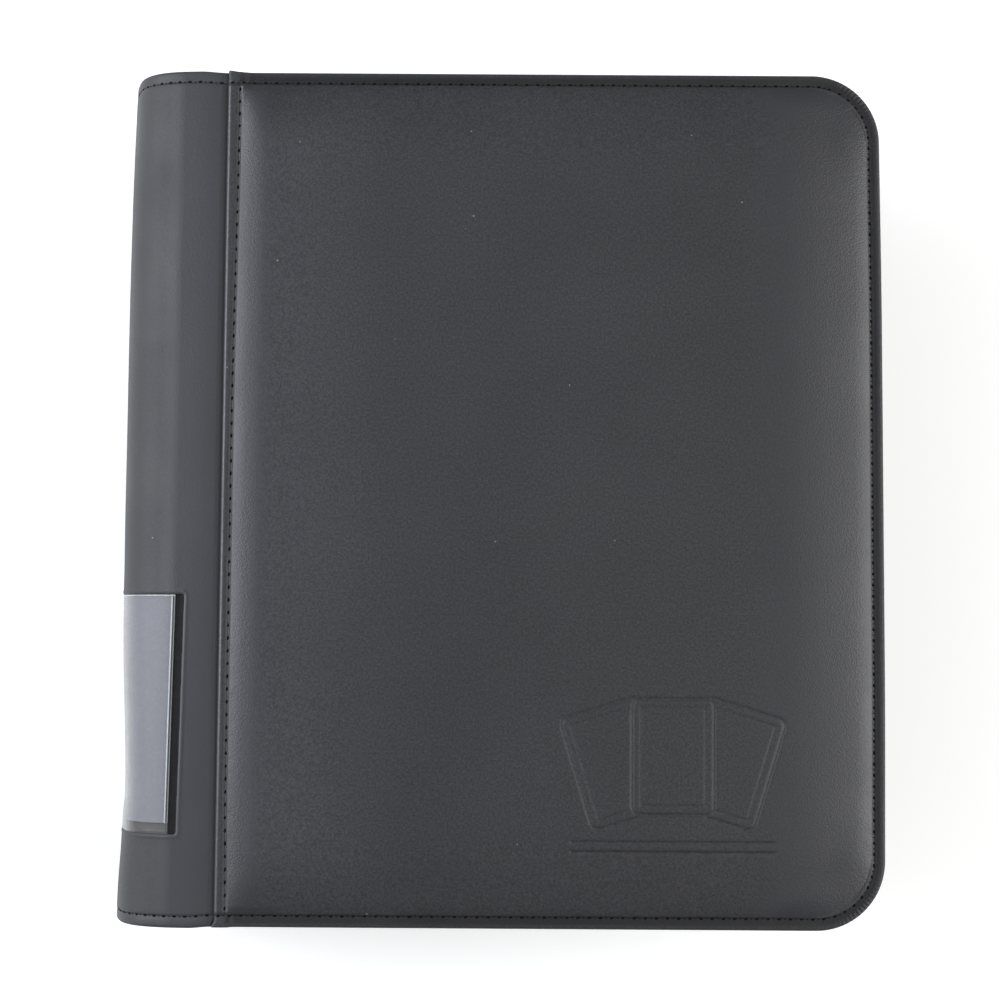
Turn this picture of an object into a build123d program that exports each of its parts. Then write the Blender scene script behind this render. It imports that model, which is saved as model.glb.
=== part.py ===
"""Ring album for trading cards: padded leatherette covers, a soft rolled spine and a three-ring D mechanism.

The album is closed and lies on its back cover. X runs from the spine to the fore-edge, Y to the top
edge, Z up through the front cover. The origin is under the middle of the back cover, on the surface
that the album lies on. All lengths are in millimetres, angles in degrees.
"""

from build123d import *
import math
import os

# --- album ---------------------------------------------------------------------------------------
cover_height = 318.0           # top edge to bottom edge
cover_width = 286.9            # leftmost point of the spine to the fore-edge
album_thickness = 73.8         # outer face to outer face of the flat stitched borders
fore_edge_corner_radius = 24.0
padding_thickness = 4.0        # how far each padded panel stands proud of its border

# --- layers of a cover, from the outside in ------------------------------------------------------
leather_thickness = 1.2
board_thickness = 2.0
lining_thickness = 0.8
turned_edge_width = 1.2        # leather turned over the edges of the board and lining

# --- rolled spine --------------------------------------------------------------------------------
spine_depth = 25.4             # from the end of the flat border to the leftmost point
spine_corner_radius = 22.5     # outer radius where the wrap rolls off each cover
hinge_gap = 0.3                # cut through the layers at each hinge line
core_on_border = 2.0           # flat strip of the spine core beside each board

# --- seam between the padded panel and the spine wrap --------------------------------------------
seam_from_spine = 41.3         # leftmost point of the spine to the folded hem
hem_width = 5.0                # hem lying on the wrap
hem_height = 1.3
border_width = 4.6             # flat stitched border round the padded panel
pad_top_radius = 3.4           # rounding along the top of the padding

# --- label window --------------------------------------------------------------------------------
label_bottom = -125.4
label_top = -37.4
window_from_seam = 13.8        # hem to the edge of the pressed window
window_depth = 0.9
sleeve_from_window = 3.4       # edge of the window to the edge of the clear sleeve
sleeve_end_gap = 0.3           # window to the sleeve, at its top and bottom
card_side_margin = 1.0         # edge of the sleeve to the edge of the card
card_top_margin = 0.4
card_bottom_margin = 3.0
sleeve_thickness = 0.3
card_thickness = 0.2
label_clearance = 0.1          # below the leather surface, and between card, sleeve and window

# --- ring mechanism ------------------------------------------------------------------------------
ring_spacing = 107.95          # standard spacing of three-ring paper
ring_count = 3
mechanism_from_seam = 5.5      # seam to the centre line of the housing
housing_length = 285.0
housing_width = 30.0
housing_height = 8.0
housing_side_height = 3.6
sheet_thickness = 1.0
lip_width = 3.0
leaf_thickness = 1.0
leaf_seat_gap = 0.3            # leaf above the lips
leaf_side_gap = 0.4            # rounded edge of a leaf beside the housing wall
leaf_middle_gap = 0.6          # between the two leaves
leaf_end_gap = 1.2             # leaf to the hub of each end lever
wire_diameter = 4.0
wire_from_centre = 9.0         # foot of each half-ring from the housing centre line
ring_height = 46.0             # middle of the wire above the leaves
post_bend_radius = 8.0
ring_end_gap = 0.2             # between the tips of a closed ring
slot_clearance = 0.6           # round each wire where it passes the housing
wire_drift = 0.6               # how far the wire's middle line shifts in its slot as the ring opens

rivet_from_middle = 80.0
rivet_diameter = 4.0
rivet_head_diameter = 9.0
rivet_head_thickness = 1.0
rivet_clearance = 1.6

lever_width = 12.0
lever_hub_radius = 2.3
lever_finger_length = 4.6
lever_finger_width = 6.0
lever_finger_thickness = 0.8
lever_finger_gap = 0.1         # finger above the lining
lever_tab_thickness = 1.4
lever_tab_reach = 11.6         # thumb tab outward from the pin
lever_tab_rise = 14.4          # thumb tab above the pin
lever_tab_bend = 3.0
lever_tip_radius = 3.0
lever_side_gap = 1.0
pin_diameter = 2.4
pin_from_end = 4.5
pin_height = 3.4
pin_running_gap = 0.05

# --- worked out from the sizes above -------------------------------------------------------------
layers = leather_thickness + board_thickness + lining_thickness
half_height = cover_height / 2
fore_edge_x = cover_width / 2
spine_x = -cover_width / 2
tangent_x = spine_x + spine_depth
seam_x = spine_x + seam_from_spine
back_outer_z = padding_thickness
front_outer_z = back_outer_z + album_thickness
middle_z = (back_outer_z + front_outer_z) / 2
half_thickness = album_thickness / 2
lining_z = back_outer_z + layers
mechanism_x = seam_x + mechanism_from_seam

# The back of the spine is one shallow arc, tangent to both corner arcs.
corner_rise = half_thickness - spine_corner_radius
bow_radius = (spine_corner_radius**2 - spine_depth**2 - corner_rise**2) / (
    2 * (spine_corner_radius - spine_depth)
)
bow_angle = math.degrees(math.asin(corner_rise / (bow_radius - spine_corner_radius)))
corner_angle = 90 - bow_angle
bow_centre_x = spine_x + bow_radius

# A quarter of the spine unrolls flat about a line just outside its corner.
quarter_length = math.radians(corner_angle) * spine_corner_radius + math.radians(bow_angle) * bow_radius
hinge_x = tangent_x + (half_thickness - quarter_length - spine_depth) / 2
hinge_rise = (half_thickness - quarter_length + spine_depth) / 2
hinge_angle = math.degrees(math.atan2(tangent_x - hinge_x, spine_corner_radius - hinge_rise))


def plate(x0, x1, y0, y1, z0, z1):
    """A box between two corners."""
    return Pos((x0 + x1) / 2, (y0 + y1) / 2, (z0 + z1) / 2) * Box(x1 - x0, y1 - y0, z1 - z0)


def polar(centre_x, centre_z, radius, angle):
    """A point of the XZ section, with the angle turned from straight down towards the spine."""
    turn = math.radians(angle)
    return (centre_x - radius * math.sin(turn), centre_z - radius * math.cos(turn))


def album_section(depth):
    """The closed album's section, `depth` inside its outer surface, as a face in the XZ plane."""
    low_z = back_outer_z + depth
    high_z = front_outer_z - depth
    corner = spine_corner_radius - depth
    low_centre = (tangent_x, back_outer_z + spine_corner_radius)
    high_centre = (tangent_x, front_outer_z - spine_corner_radius)
    low_joint = polar(*low_centre, corner, corner_angle)
    high_joint = polar(*high_centre, corner, 180 - corner_angle)
    low_middle = polar(*low_centre, corner, corner_angle / 2)
    high_middle = polar(*high_centre, corner, 180 - corner_angle / 2)
    with BuildSketch(Plane.XZ) as section:
        with BuildLine():
            Line((fore_edge_x, low_z), (tangent_x, low_z))
            ThreePointArc((tangent_x, low_z), low_middle, low_joint)
            ThreePointArc(low_joint, (spine_x + depth, middle_z), high_joint)
            ThreePointArc(high_joint, high_middle, (tangent_x, high_z))
            Line((tangent_x, high_z), (fore_edge_x, high_z))
            Line((fore_edge_x, high_z), (fore_edge_x, low_z))
        make_face()
    return section.sketch


def album_layer(outer_depth, inner_depth, end_x, y0, y1):
    """One layer of the album's wall between two depths, from the spine to end_x and from y0 to y1."""
    outside = extrude(album_section(outer_depth), (y1 - y0) / 2, both=True)
    inside = extrude(album_section(inner_depth), (y1 - y0) / 2, both=True)
    reach = (y1 - y0) / 2
    kept = plate(spine_x - 1, end_x, -reach, reach, 0, front_outer_z + 1)
    return Pos(0, (y0 + y1) / 2, 0) * ((outside - inside) & kept)


def hinge_cutter(low):
    """A thin plate along a hinge line, square to the rolled corner."""
    centre_z = back_outer_z + spine_corner_radius if low else front_outer_z - spine_corner_radius
    angle = hinge_angle if low else 180 - hinge_angle
    x, z = polar(tangent_x, centre_z, spine_corner_radius, angle)
    blade = Box(hinge_gap, cover_height + 2, 4 * layers)
    return Pos(x, 0, z) * Rot(0, angle, 0) * blade


def split_at_hinges(layer):
    """The back, spine and front pieces of a layer."""
    pieces = (layer - hinge_cutter(True) - hinge_cutter(False)).solids()
    back, spine, front = sorted(pieces, key=lambda piece: piece.center().Z)
    return back, spine, front


def cover_outline(inset, start_x, z0, z1):
    """A cover's plan with its two rounded fore-edge corners, `inset` inside the edge, as a solid."""
    slab = plate(
        start_x, fore_edge_x - inset, -half_height + inset, half_height - inset, z0, z1
    )
    corners = slab.edges().filter_by(Axis.Z).sort_by(Axis.X)[-2:]
    return fillet(corners, fore_edge_corner_radius - inset)


def mirrored(solid):
    """The same piece on the other cover."""
    return solid.mirror(Plane.XY.offset(middle_z))


# --- covers --------------------------------------------------------------------------------------
def label_window():
    """The pressed window, as the volume that it takes out of the wrap."""
    return album_layer(0, window_depth, seam_x - window_from_seam, label_bottom, label_top)


def spine_wrap():
    """One leather sheet from seam to seam, turned over at its two ends."""
    end_x = seam_x + hem_width
    skin = album_layer(0, leather_thickness, end_x, -half_height, half_height)
    for y0 in (-half_height, half_height - turned_edge_width):
        skin += album_layer(0, layers, end_x, y0, y0 + turned_edge_width)
    return split_at_hinges(skin - label_window())


def spine_core():
    """Flexible sheet that holds the spine's round form, from board to board."""
    reach = half_height - turned_edge_width
    inner = leather_thickness + board_thickness
    return split_at_hinges(
        album_layer(leather_thickness, inner, tangent_x + core_on_border, -reach, reach)
    )


def linings():
    """Inner lining of the back cover, spine and front cover."""
    reach = half_height - turned_edge_width
    sheet = album_layer(layers - lining_thickness, layers, fore_edge_x, -reach, reach)
    rounded = cover_outline(turned_edge_width, spine_x, 0, front_outer_z)
    return split_at_hinges(sheet & rounded)


def rivet_places():
    return [(mechanism_x, side * rivet_from_middle) for side in (-1, 1)]


def front_board():
    z1 = front_outer_z - leather_thickness
    return cover_outline(turned_edge_width, tangent_x + core_on_border, z1 - board_thickness, z1)


def front_padding():
    """Foam pad with rounded shoulders, inside the stitched border."""
    z0 = front_outer_z - leather_thickness
    edge = border_width + leather_thickness
    pad = cover_outline(edge, seam_x + edge, z0, z0 + padding_thickness)
    inner_corners = pad.edges().filter_by(Axis.Z).sort_by(Axis.X)[:2]
    pad = fillet(inner_corners, pad_top_radius)
    return fillet(pad.faces().sort_by(Axis.Z)[-1].edges(), pad_top_radius - leather_thickness)


def front_panel(padding, wrap):
    """Panel leather: flat border, crown over the padding, hem over the wrap and turned edge."""
    z0 = front_outer_z - leather_thickness
    z1 = front_outer_z
    border = cover_outline(0, seam_x, z0, z1)
    hem_end_x = seam_x + hem_width + leather_thickness
    hem = plate(seam_x, hem_end_x, -half_height, half_height, z1, z1 + hem_height)
    crown = cover_outline(border_width, seam_x + border_width, z0, z1 + padding_thickness)
    corners = crown.edges().filter_by(Axis.Z).sort_by(Axis.X)[:2]
    crown = fillet(corners, pad_top_radius + leather_thickness)
    crown = fillet(crown.faces().sort_by(Axis.Z)[-1].edges(), pad_top_radius)
    turned = cover_outline(0, seam_x + hem_width, z1 - layers, z0)
    turned -= cover_outline(turned_edge_width, seam_x, z1 - layers - 1, z0 + 1)
    return border + hem + crown + turned - padding - wrap


def riveted(board_or_lining):
    """Rivet holes, with a recess for the hidden heads on the outer side."""
    for x, y in rivet_places():
        board_or_lining -= Pos(x, y, lining_z) * Cylinder(rivet_diameter / 2, 4 * layers)
        head_z = back_outer_z + leather_thickness + rivet_head_thickness / 2
        board_or_lining -= Pos(x, y, head_z) * Cylinder(rivet_head_diameter / 2, rivet_head_thickness)
    return board_or_lining


def label(depth, thickness, side_margin=0, top_margin=0, bottom_margin=0):
    """A thin sheet in the label window, `depth` below the leather and inside the sleeve's edges."""
    end_x = seam_x - window_from_seam - sleeve_from_window - side_margin
    y0 = label_bottom + sleeve_end_gap + bottom_margin
    y1 = label_top - sleeve_end_gap - top_margin
    return album_layer(depth, depth + thickness, end_x, y0, y1)


# --- ring mechanism ------------------------------------------------------------------------------
def ring_rows():
    middle = (ring_count - 1) / 2
    return [(row - middle) * ring_spacing for row in range(ring_count)]


arch_radius = ((housing_width / 2) ** 2 + (housing_height - housing_side_height) ** 2) / (
    2 * (housing_height - housing_side_height)
)
leaf_z = lining_z + sheet_thickness + leaf_seat_gap
leaf_middle_z = leaf_z + leaf_thickness / 2
pivot_from_centre = housing_width / 2 - sheet_thickness - leaf_side_gap - leaf_thickness / 2
pin_z = lining_z + pin_height
pin_y = housing_length / 2 - pin_from_end
leaf_end_y = pin_y - lever_hub_radius - leaf_end_gap


def arch_solid(depth, length):
    """The housing's arched bar, `depth` inside its outer face, standing on the lining."""
    side_x = housing_width / 2 - depth
    radius = arch_radius - depth
    centre_z = lining_z + housing_height - arch_radius
    shoulder_z = centre_z + math.sqrt(radius**2 - side_x**2)
    with BuildSketch(Plane.XZ) as section:
        with BuildLine():
            Line((-side_x, lining_z - depth), (-side_x, shoulder_z))
            ThreePointArc((-side_x, shoulder_z), (0, centre_z + radius), (side_x, shoulder_z))
            Line((side_x, shoulder_z), (side_x, lining_z - depth))
            Line((side_x, lining_z - depth), (-side_x, lining_z - depth))
        make_face()
    return extrude(section.sketch, length / 2, both=True)


def ring_housing():
    """Arched sheet with inward lips, wire slots, rivet holes and forked ends for the levers."""
    bar = arch_solid(0, housing_length) - arch_solid(sheet_thickness, housing_length + 2)
    for side in (-1, 1):
        outer = side * housing_width / 2
        inner = side * (housing_width / 2 - lip_width)
        bar += plate(
            min(outer, inner), max(outer, inner), -housing_length / 2, housing_length / 2,
            lining_z, lining_z + sheet_thickness,
        )
        slot_half = wire_diameter / 2 + slot_clearance
        slot = Box(2 * (slot_half + wire_drift), 2 * slot_half, housing_height)
        slot = fillet(slot.edges().filter_by(Axis.Z), 0.9 * slot_half)
        for y in ring_rows():
            x = side * (wire_from_centre + wire_drift)
            bar -= Pos(x, y, lining_z + housing_height) * slot
        notch_half = lever_width / 2 + lever_side_gap
        end_y = side * housing_length / 2
        deep_y = side * (pin_y - lever_hub_radius - lever_side_gap)
        bar -= plate(
            -notch_half, notch_half, min(end_y, deep_y), max(end_y, deep_y),
            lining_z + sheet_thickness, lining_z + housing_height + 1,
        )
        bar -= Pos(0, side * pin_y, pin_z) * Rot(0, 90, 0) * Cylinder(pin_diameter / 2, 2 * housing_width)
    for y in (-rivet_from_middle, rivet_from_middle):
        bar -= Pos(0, y, lining_z + housing_height) * Cylinder(rivet_diameter / 2, housing_height)
    return Pos(mechanism_x, 0, 0) * bar


def ring_rivets():
    """Two rivets with hidden flat heads in the board and domed heads on the housing."""
    foot_z = back_outer_z + leather_thickness
    top_z = lining_z + housing_height
    rivets = []
    for x, y in rivet_places():
        rivet = Pos(0, 0, (foot_z + top_z) / 2) * Cylinder(rivet_diameter / 2, top_z - foot_z)
        rivet += Pos(0, 0, foot_z + rivet_head_thickness / 2) * Cylinder(
            rivet_head_diameter / 2, rivet_head_thickness
        )
        dome = Pos(0, 0, top_z + 0.75 * rivet_head_thickness) * Cylinder(
            0.4 * rivet_head_diameter, 1.5 * rivet_head_thickness
        )
        dome = fillet(dome.faces().sort_by(Axis.Z)[-1].edges(), rivet_head_thickness)
        rivets.append(Pos(x, y, 0) * (rivet + dome))
    return Compound(rivets)


def ring_leaf(side):
    """A steel blade that rocks on its round outer edge, side -1 at the spine, +1 at the fore-edge."""
    inner = side * leaf_middle_gap / 2
    outer = side * pivot_from_centre
    leaf = plate(
        min(inner, outer), max(inner, outer), -leaf_end_y, leaf_end_y,
        leaf_z, leaf_z + leaf_thickness,
    )
    rolled_edge = Cylinder(leaf_thickness / 2, 2 * leaf_end_y, rotation=(90, 0, 0))
    leaf += Pos(outer, 0, leaf_middle_z) * rolled_edge
    for y in ring_rows():
        leaf -= Pos(side * wire_from_centre, y, leaf_middle_z) * Cylinder(wire_diameter / 2, leaf_thickness)
    for y in (-rivet_from_middle, rivet_from_middle):
        leaf -= Pos(0, y, leaf_middle_z) * Cylinder(rivet_diameter / 2 + rivet_clearance, leaf_thickness)
    return Pos(mechanism_x, 0, 0) * leaf


def wire_along(points, radii, y):
    """A round wire along straight runs joined by arcs, in the plane at y."""
    plane = Plane(origin=(mechanism_x, y, leaf_z), x_dir=(1, 0, 0), z_dir=(0, -1, 0))
    path = plane * FilletPolyline(*points, radius=radii)
    start = Plane(origin=path @ 0, z_dir=path % 0)
    return sweep(start * Circle(wire_diameter / 2), path)


def ring_bow(y):
    """Bowed half of a D ring, on the spine side."""
    points = [
        (-wire_from_centre, 0),
        (-wire_from_centre, 0.21 * ring_height),
        (-wire_from_centre - 0.35 * ring_height, 0.41 * ring_height),
        (-wire_from_centre - 0.26 * ring_height, ring_height),
        (-ring_end_gap / 2, ring_height),
    ]
    return wire_along(points, [6, 14, 14], y)


def ring_post(y):
    """Straight half of a D ring, on the fore-edge side, bent over at its top."""
    points = [
        (wire_from_centre, 0),
        (wire_from_centre, ring_height),
        (ring_end_gap / 2, ring_height),
    ]
    return wire_along(points, [post_bend_radius], y)


def lever(side):
    """End lever: hub on the pin, a finger under the leaves and a bent thumb tab beyond the housing."""
    hub = Cylinder(lever_hub_radius, lever_width, rotation=(0, 90, 0))
    low_z = lever_finger_gap - pin_height
    half_finger = lever_finger_width / 2
    finger = plate(
        -half_finger, half_finger, -lever_finger_length, 0, low_z, low_z + lever_finger_thickness
    )
    web = plate(-half_finger, half_finger, -pin_diameter, 0, low_z, 0)
    middle = lever_hub_radius - lever_tab_thickness / 2
    knee = (0.7 * lever_tab_reach, 0.4 * lever_tab_rise)
    with BuildSketch(Plane.YZ) as section:
        with BuildLine():
            FilletPolyline((0, middle), knee, (lever_tab_reach, lever_tab_rise), radius=lever_tab_bend)
        trace(line_width=lever_tab_thickness)
    tab = extrude(section.sketch, lever_width / 2, both=True)
    tip_face = tab.faces().sort_by(Axis.Z)[-1]
    tip_corners = tip_face.edges().sort_by(SortBy.LENGTH)[:2]
    tab = fillet(tip_corners, lever_tip_radius)
    body = hub + finger + web + tab
    body -= Cylinder(pin_diameter / 2 + pin_running_gap, 2 * lever_width, rotation=(0, 90, 0))
    if side < 0:
        body = body.mirror(Plane.XZ)
    return Pos(mechanism_x, side * pin_y, pin_z) * body


def lever_pins():
    """Pins across the forked ends of the housing."""
    pin = Cylinder(pin_diameter / 2, housing_width, rotation=(0, 90, 0))
    return Compound([Pos(mechanism_x, side * pin_y, pin_z) * pin for side in (-1, 1)])


# --- build ---------------------------------------------------------------------------------------
def build():
    wrap_back, wrap_spine, wrap_front = spine_wrap()
    core_back, core_spine, core_front = spine_core()
    lining_back, lining_spine, lining_front = linings()
    board = front_board()
    padding = front_padding()
    panel = front_panel(padding, wrap_front)
    parts = {
        "back_board": riveted(mirrored(board)),
        "back_padding": mirrored(padding),
        "back_panel_leather": mirrored(panel),
        "back_lining": riveted(lining_back),
        "back_spine_wrap": wrap_back,
        "back_spine_core": core_back,
        "middle_spine_wrap": wrap_spine,
        "middle_spine_core": core_spine,
        "spine_lining": lining_spine,
        "label_card": label(
            2 * label_clearance + sleeve_thickness,
            card_thickness,
            card_side_margin,
            card_top_margin,
            card_bottom_margin,
        ),
        "label_sleeve": label(label_clearance, sleeve_thickness),
        "front_board": board,
        "front_padding": padding,
        "front_panel_leather": panel,
        "front_lining": lining_front,
        "front_spine_wrap": wrap_front,
        "front_spine_core": core_front,
        "ring_housing": ring_housing(),
        "ring_rivets": ring_rivets(),
        "lever_pins": lever_pins(),
        "bow_leaf": ring_leaf(-1),
        "post_leaf": ring_leaf(1),
        "bottom_lever": lever(-1),
        "top_lever": lever(1),
    }
    for number, y in enumerate(ring_rows(), start=1):
        parts[f"ring_bow_{number}"] = ring_bow(y)
        parts[f"ring_post_{number}"] = ring_post(y)
    return parts


os.makedirs("parts", exist_ok=True)
for name, solid in build().items():
    export_step(solid, f"parts/{name}.step")
print(f"spine hinge line at x {hinge_x:.3f}, {hinge_rise:.3f} above the border")
print(f"leaf pivots {pivot_from_centre:.2f} each side of x {mechanism_x:.3f}, z {leaf_middle_z:.3f}")
print(f"lever pins at y {pin_y:.3f}, z {pin_z:.3f}")
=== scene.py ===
import math

import bmesh
import bpy
import numpy as np
from mathutils import Euler, Matrix, Vector


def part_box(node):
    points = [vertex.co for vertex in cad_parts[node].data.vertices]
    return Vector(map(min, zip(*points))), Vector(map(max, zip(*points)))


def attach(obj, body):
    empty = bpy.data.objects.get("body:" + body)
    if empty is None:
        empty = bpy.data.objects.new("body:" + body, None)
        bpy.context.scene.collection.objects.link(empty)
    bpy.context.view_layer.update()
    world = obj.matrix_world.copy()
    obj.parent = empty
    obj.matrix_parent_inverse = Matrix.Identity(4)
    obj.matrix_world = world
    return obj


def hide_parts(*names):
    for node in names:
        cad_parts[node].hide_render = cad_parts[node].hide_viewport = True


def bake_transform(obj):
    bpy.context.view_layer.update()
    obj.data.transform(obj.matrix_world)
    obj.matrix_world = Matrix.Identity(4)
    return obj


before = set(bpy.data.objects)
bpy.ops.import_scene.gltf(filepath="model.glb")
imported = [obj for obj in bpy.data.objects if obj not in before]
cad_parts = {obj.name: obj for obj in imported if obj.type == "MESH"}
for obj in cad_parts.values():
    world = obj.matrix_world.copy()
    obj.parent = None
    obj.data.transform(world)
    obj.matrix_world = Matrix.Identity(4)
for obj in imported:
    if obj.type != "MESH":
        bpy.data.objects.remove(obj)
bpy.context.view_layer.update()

MM = 0.001
TURN = 2 * math.pi


def corners(node):
    """A node's lowest and highest corner, in millimetres."""
    low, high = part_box(node)
    return np.array(low) / MM, np.array(high) / MM


# --- places taken from the model, in millimetres ---
panel_low, panel_high = corners("front_panel_leather")
seam_x, fore_edge_x = panel_low[0], panel_high[0]
half_height = panel_high[1]
crown_z = panel_high[2]
inner_z = panel_low[2]
leather = crown_z - corners("front_padding")[1][2]
board_low, board_high = corners("front_board")
border_z = board_high[2] + leather
back_border_z = corners("back_board")[0][2] - leather
middle_z = (border_z + back_border_z) / 2
half_thickness = (border_z - back_border_z) / 2
spine_x = corners("middle_spine_wrap")[0][0]
wrap_end_x = corners("front_spine_wrap")[1][0]
wall = border_z - inner_z
sleeve_low, sleeve_high = corners("label_sleeve")
card_low, card_high = corners("label_card")

# --- sizes of the soft parts, in millimetres ---
core_on_border = 2.0
spine_corner_radius = 22.5
fore_corner_radius = 25.5
lining_thickness = 0.8
edge_radius = 1.2
hem_radius = 1.2
hem_height = 1.3
hem_width = 4.2
hem_fade = 8.0
pad_inset = 4.6
stitch_inset = 4.3
seam_inset = 3.5
seam_depth = 0.5
valley_depth = 0.36
valley_width = 0.48
crown_height = crown_z - border_z
pad_start = 3.8                # hem's edge to the foot of the pad
turn_in = 1.5                  # how far the leather's turned edge reaches round the board
hem_undercut = 0.35
corner_draw = 0.6              # how far the fore edge is drawn in at its ends
window_depth = 0.9
window_slope = 0.9
window_top_gap = 13.0          # seam to the window's edge, at the window's top and bottom
window_bottom_gap = 14.6
sleeve_gap = 16.5              # seam to the sleeve's edge, at its top and bottom
sleeve_bottom_gap = 18.0
sleeve_end_gap = 0.3
card_inset = 1.0               # sleeve's edge to the card's
card_end = card_low[1] + 1.0
card_head = card_high[1] + 0.6
sleeve_level, card_level = 0.1, 0.5
sleeve_thickness, card_thickness = 0.25, 0.2
weld_height = 0.12
play = 0.05                    # between one layer and the next
thread_rise = 0.1              # a stitch's middle over the leather's face
thread_sink = 0.1              # and under the lining's

seam_pitch = 4.7
seam_end_gap = 7.0
border_pitch = 4.1
border_sizes = (0.75, 0.25)    # half-lengths of a long stitch and of the short one after it
spine_sizes = (0.8, 0.3)
seam_size = 0.85
lining_size, spine_lining_size = 1.3, 1.2
stitch_lean = 4                # degrees that one stitch leans more or less than the next
stitch_unevenness = 0.07       # share of its size

tangent_x = board_low[0] - core_on_border
spine_depth = tangent_x - spine_x
corner_rise = half_thickness - spine_corner_radius
bow_radius = (spine_corner_radius**2 - spine_depth**2 - corner_rise**2) / (
    2 * (spine_corner_radius - spine_depth)
)
bow_angle = math.asin(corner_rise / (bow_radius - spine_corner_radius))
corner_angle = math.pi / 2 - bow_angle
corner_length = corner_angle * spine_corner_radius
quarter_length = corner_length + bow_angle * bow_radius
window_low_y = sleeve_low[1] - sleeve_end_gap
window_high_y = sleeve_high[1] + sleeve_end_gap


# --- shaping helpers ---
def ramp(value, start, end):
    """0 before start, 1 after end, and smooth between them."""
    share = np.clip((value - start) / (end - start), 0, 1)
    return share * share * (3 - 2 * share)


def groove(distance, width):
    """1 on a line and falling to 0 on both sides of it."""
    return np.exp(-((distance / width) ** 2))


def waves(x, y, seed, length, count=9):
    """Slow unevenness between about -1 and 1."""
    draw = np.random.default_rng(seed)
    total = 0
    for _ in range(count):
        heading, start = draw.uniform(0, TURN), draw.uniform(0, TURN)
        stretch = draw.uniform(0.6, 1.7)
        along = x * math.cos(heading) + y * math.sin(heading)
        total = total + np.sin(along * TURN / (length * stretch) + start)
    return total * 1.6 / count


def lines(*stretches):
    """Grid lines over stretches of (start, end, step)."""
    places = []
    for start, end, step in stretches:
        places.append(np.linspace(start, end, max(1, round(abs(end - start) / step)) + 1))
    return np.unique(np.round(np.concatenate(places), 4))


def settle(piece):
    """Object mode, with only this piece selected and active."""
    if bpy.context.object and bpy.context.object.mode == "EDIT":
        bpy.ops.object.mode_set(mode="OBJECT")
    bpy.ops.object.select_all(action="DESELECT")
    piece.select_set(True)
    bpy.context.view_layer.objects.active = piece


def shaped_grid(name, points):
    """A grid primitive with its vertices set to rows of points, in millimetres."""
    rows, columns = points.shape[:2]
    bpy.ops.object.select_all(action="DESELECT")
    bpy.ops.mesh.primitive_grid_add(x_subdivisions=columns - 1, y_subdivisions=rows - 1, size=1)
    piece = bpy.context.object
    piece.name = piece.data.name = name
    piece.data.vertices.foreach_set("co", (points.reshape(-1, 3) * MM).ravel())
    piece.data.update()
    return piece


def close_up(piece, merge=False, angle=35):
    """Merges a loop's two ends, caps what is open, and turns all faces outwards."""
    settle(piece)
    bpy.ops.object.mode_set(mode="EDIT")
    bpy.ops.mesh.select_mode(type="VERT")
    if merge:
        bpy.ops.mesh.select_all(action="SELECT")
        bpy.ops.mesh.remove_doubles(threshold=1e-6)
    bpy.ops.mesh.select_all(action="DESELECT")
    bpy.ops.mesh.select_non_manifold()
    bpy.ops.mesh.fill_holes(sides=0)
    bpy.ops.mesh.select_all(action="SELECT")
    bpy.ops.mesh.normals_make_consistent(inside=False)
    bpy.ops.object.mode_set(mode="OBJECT")
    bpy.ops.object.shade_smooth_by_angle(angle=math.radians(angle))
    return piece


def fold_edge(piece, *places):
    """Extrudes the open edge once for each place, which moves the new ring's points."""
    settle(piece)
    bpy.ops.object.mode_set(mode="EDIT")
    bpy.ops.mesh.select_mode(type="EDGE")
    bpy.ops.mesh.select_all(action="DESELECT")
    bpy.ops.mesh.select_non_manifold()
    for place in places:
        bpy.ops.mesh.extrude_edges_move()
        shape = bmesh.from_edit_mesh(piece.data)
        ring = [vertex for vertex in shape.verts if vertex.select]
        moved = place(np.array([vertex.co for vertex in ring]) / MM)
        for vertex, point in zip(ring, moved):
            vertex.co = point * MM
        bmesh.update_edit_mesh(piece.data)
    bpy.ops.object.mode_set(mode="OBJECT")


def finish_modifiers(piece):
    """Applies all of a piece's modifiers."""
    settle(piece)
    for modifier in list(piece.modifiers):
        bpy.ops.object.modifier_apply(modifier=modifier.name)


def thicken(piece, thickness, inwards=1):
    """Gives an open sheet its thickness and closed edges."""
    modifier = piece.modifiers.new("thickness", "SOLIDIFY")
    modifier.thickness = thickness * MM
    modifier.offset = inwards
    modifier.use_even_offset = False
    finish_modifiers(piece)
    return close_up(piece)


def mark(piece, name, values):
    """Keeps a value for each vertex, which a finish can read."""
    attribute = piece.data.attributes.new(name, "FLOAT", "POINT")
    attribute.data.foreach_set("value", np.asarray(values, np.float32))


def vertices_of(piece):
    """A piece's points, in millimetres."""
    flat = np.zeros(len(piece.data.vertices) * 3)
    piece.data.vertices.foreach_get("co", flat)
    return flat.reshape(-1, 3) / MM


def draw_in(piece):
    """Pulls a cover piece's two fore corners in a little."""
    places = vertices_of(piece)
    pull = ramp(np.abs(places[:, 1]), 60, half_height) * ramp(places[:, 0], 40, fore_edge_x)
    places[:, 0] -= corner_draw * pull
    piece.data.vertices.foreach_set("co", (places * MM).ravel())
    piece.data.update()


def on_back(points):
    """The same points on the back cover."""
    points = points.copy()
    points[..., 2] = 2 * middle_z - points[..., 2]
    return points


# --- cover outline ---
arc_x = fore_edge_x - fore_corner_radius
arc_y = half_height - fore_corner_radius


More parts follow.
